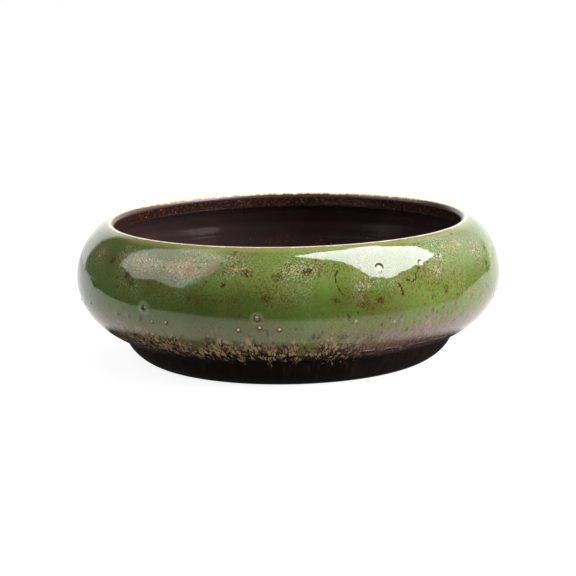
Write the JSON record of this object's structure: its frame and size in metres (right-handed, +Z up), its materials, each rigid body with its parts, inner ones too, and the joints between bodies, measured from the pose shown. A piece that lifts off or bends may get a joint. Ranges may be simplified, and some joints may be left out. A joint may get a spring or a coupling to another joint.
{
  "type": "shallow ceramic planter bowl",
  "caption": "Low round stoneware planter with an in-turned rolled lip, green reactive glaze over a dark run-down coat, raised foot ring, drain hole and a loose drain net.",
  "frame": {"origin": "centre of the standing circle, on the table", "axes": "+Z up along the wheel axis, -Y towards the camera of the picture"},
  "size_m": [0.185, 0.185, 0.061],
  "materials": {
    "clay": "bare fired stoneware, matt",
    "green_glaze": "glossy mottled green reactive glaze with cream crystals and brown blisters",
    "dark_glaze": "glossy black-brown glaze with ochre streaks",
    "liner_glaze": "glossy black-brown glaze with rust speckles",
    "net": "moulded polypropylene"
  },
  "bodies": {
    "planter": {"clay_bowl": "clay", "foot_ring": "clay", "green_glaze": "green_glaze", "foot_glaze": "dark_glaze", "liner_glaze": "liner_glaze"},
    "net": {"drain_net": "net"}
  },
  "joints": [
    {"name": "net_lift", "type": "slide", "parent": "planter", "child": "net", "axis": [0, 0, 1], "range_m": [0, 0.08]}
  ]
}
